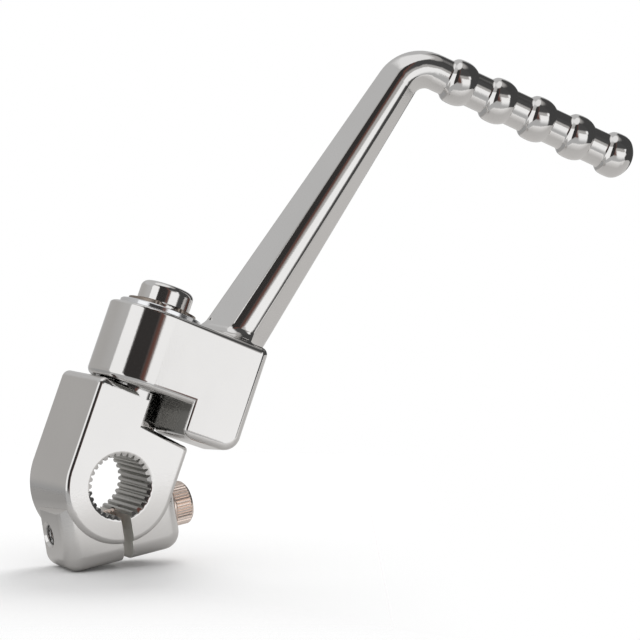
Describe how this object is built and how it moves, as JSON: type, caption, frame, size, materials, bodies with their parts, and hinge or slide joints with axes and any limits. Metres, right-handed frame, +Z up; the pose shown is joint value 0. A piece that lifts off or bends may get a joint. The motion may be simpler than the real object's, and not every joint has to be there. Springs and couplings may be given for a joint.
{
  "type": "kick start lever",
  "caption": "Folding kick start lever with a splined pinch clamp, a tapered arm that turns on a spindle and a ringed pedal.",
  "frame": {"origin": "middle of the splined bore, on its axis, halfway through the clamp", "axes": "+Y along the bore towards the engine, +Z up and +X to the right as the lever is shown, with the spindle leaning 20.7 degrees from +Z towards +X"},
  "size_m": [0.1973, 0.057, 0.1647],
  "materials": {
    "bright_chrome": "bright polished chrome plate; the splined bore is bare matt steel",
    "zinc_plate": "dull bluish zinc plate",
    "dark_spring_steel": "brownish spring steel",
    "bronzed_steel": "knurled socket head, warm nickel tint",
    "hardened_steel": "plain hardened steel"
  },
  "bodies": {
    "clamp": {"clamp_boss": "bright_chrome", "circlip": "dark_spring_steel", "pinch_bolt": "bronzed_steel"},
    "arm": {"kick_arm": "bright_chrome", "thrust_washer": "zinc_plate", "detent_ball": "hardened_steel", "detent_spring": "hardened_steel"}
  },
  "joints": [
    {"name": "arm_fold", "type": "hinge", "parent": "clamp", "child": "arm", "pos_m": [0.01335, -0.0025, 0.04071], "axis": [0.3535, 0, 0.9354], "range_deg": [-75, 15]}
  ]
}
